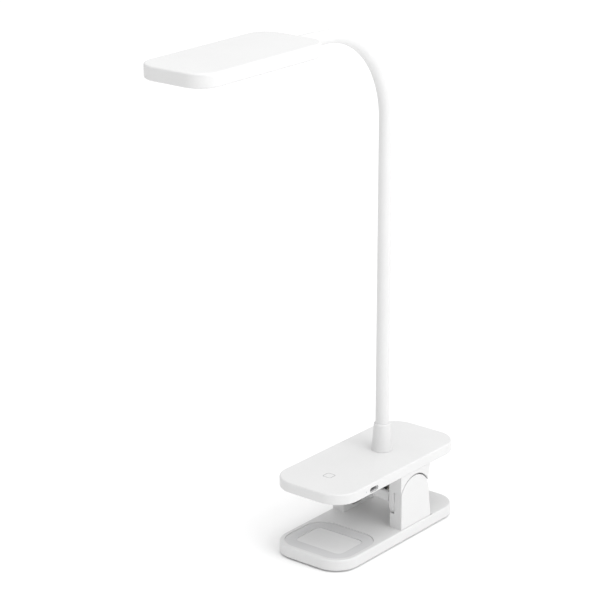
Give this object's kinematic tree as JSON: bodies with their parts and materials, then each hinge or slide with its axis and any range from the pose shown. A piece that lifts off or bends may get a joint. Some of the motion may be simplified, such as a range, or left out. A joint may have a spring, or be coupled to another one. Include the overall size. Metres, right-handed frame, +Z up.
{
  "type": "clip-on reading lamp",
  "caption": "Cordless reading lamp: a sprung clamp with two flat jaws that also stands as a base, a bendable neck and a flat rectangular lamp head.",
  "frame": {"origin": "middle of the foot pad's underside, on the surface that the lamp stands on", "axes": "+Z up; the clamp's mouth and the head point along -Y, the finger tails along +Y; the charging socket is on +X"},
  "size_m": [0.0626, 0.2702, 0.3695],
  "materials": {
    "white_shell": "fine satin white ABS",
    "white_silicone": "smooth satin white silicone",
    "grey_silicone": "matte light grey silicone",
    "steel": "plain zinc-plated steel",
    "nylon": "natural nylon",
    "battery_wrap": "foil pouch with film",
    "circuit_board": "green solder mask",
    "chip_black": "moulded epoxy",
    "clear_plastic": "polished clear acrylic",
    "conductive_foam": "conductive fabric over foam",
    "icon_print": "grey pad print",
    "lead_insulation": "thin PVC insulation",
    "opal_diffuser": "opal acrylic",
    "reflector_white": "glossy white moulding",
    "led_board_aluminium": "white solder mask on aluminium",
    "led_phosphor": "yellow phosphor gel"
  },
  "bodies": {
    "lower_jaw": {"low_shell": "white_shell", "low_cover": "white_shell", "foot_pad": "grey_silicone", "ballast": "steel", "low_screws": "steel", "grip_ring": "grey_silicone", "grip_insert": "grey_silicone", "ear_cap_left": "white_shell", "ear_cap_right": "white_shell", "hinge_pin": "steel", "pin_clips": "steel", "spring_tube": "nylon", "torsion_spring": "steel"},
    "upper_jaw": {"up_shell": "white_shell", "up_tray": "white_shell", "cheek_brace": "white_shell", "hinge_bushes": "nylon", "up_screws": "steel", "up_grip_pad": "grey_silicone", "battery": "battery_wrap", "main_board": "circuit_board", "board_chips": "chip_black", "board_screws": "steel", "usb_c_socket": "steel", "charge_light_pipe": "clear_plastic", "touch_pad": "conductive_foam", "touch_icon": "icon_print", "battery_leads": "lead_insulation", "lamp_leads": "lead_insulation", "neck_collar": "white_shell", "neck_nipple": "steel", "nipple_nut": "steel", "neck_core_0": "steel", "neck_sleeve_0": "white_silicone"},
    "neck_1": {"neck_core_1": "steel", "neck_sleeve_1": "white_silicone"},
    "neck_2": {"neck_core_2": "steel", "neck_sleeve_2": "white_silicone"},
    "neck_3": {"neck_core_3": "steel", "neck_sleeve_3": "white_silicone"},
    "neck_4": {"neck_core_4": "steel", "neck_sleeve_4": "white_silicone"},
    "neck_5": {"neck_core_5": "steel", "neck_sleeve_5": "white_silicone"},
    "neck_6": {"neck_core_6": "steel", "neck_sleeve_6": "white_silicone"},
    "head": {"neck_core_7": "steel", "neck_sleeve_7": "white_silicone", "head_ferrule": "white_shell", "ferrule_screws": "steel", "head_shell": "white_shell", "head_bezel": "white_shell", "diffuser": "opal_diffuser", "reflector": "reflector_white", "led_board": "led_board_aluminium", "led_chips": "led_phosphor", "led_board_screws": "steel", "head_leads": "lead_insulation"}
  },
  "joints": [
    {"name": "jaw_hinge", "type": "hinge", "parent": "lower_jaw", "child": "upper_jaw", "pos_m": [0, 0.0155, 0.0287], "axis": [-1, 0, 0], "range_deg": [0, 32], "stiffness_Nm_per_rad": 1, "springref_deg": -34.38, "deforming": ["torsion_spring"]},
    {"name": "neck_bend_1", "type": "hinge", "parent": "upper_jaw", "child": "neck_1", "pos_m": [0, 0.017, 0.0892], "axis": [1, 0, 0], "range_deg": [-25, 25]},
    {"name": "neck_bend_2", "type": "hinge", "parent": "neck_1", "child": "neck_2", "pos_m": [0, 0.017, 0.14067], "axis": [0, 1, 0], "range_deg": [-30, 30]},
    {"name": "neck_bend_3", "type": "hinge", "parent": "neck_2", "child": "neck_3", "pos_m": [0, 0.017, 0.19215], "axis": [1, 0, 0], "range_deg": [-25, 25]},
    {"name": "neck_bend_4", "type": "hinge", "parent": "neck_3", "child": "neck_4", "pos_m": [0, 0.017, 0.24363], "axis": [0, 1, 0], "range_deg": [-30, 30]},
    {"name": "neck_bend_5", "type": "hinge", "parent": "neck_4", "child": "neck_5", "pos_m": [0, 0.017, 0.2951], "axis": [1, 0, 0], "range_deg": [-30, 20]},
    {"name": "neck_bend_6", "type": "hinge", "parent": "neck_5", "child": "neck_6", "pos_m": [0, -0.00292, 0.34318], "axis": [1, 0, 0], "range_deg": [-30, 20]},
    {"name": "neck_bend_7", "type": "hinge", "parent": "neck_6", "child": "head", "pos_m": [0, -0.051, 0.3631], "axis": [1, 0, 0], "range_deg": [-30, 30]}
  ]
}
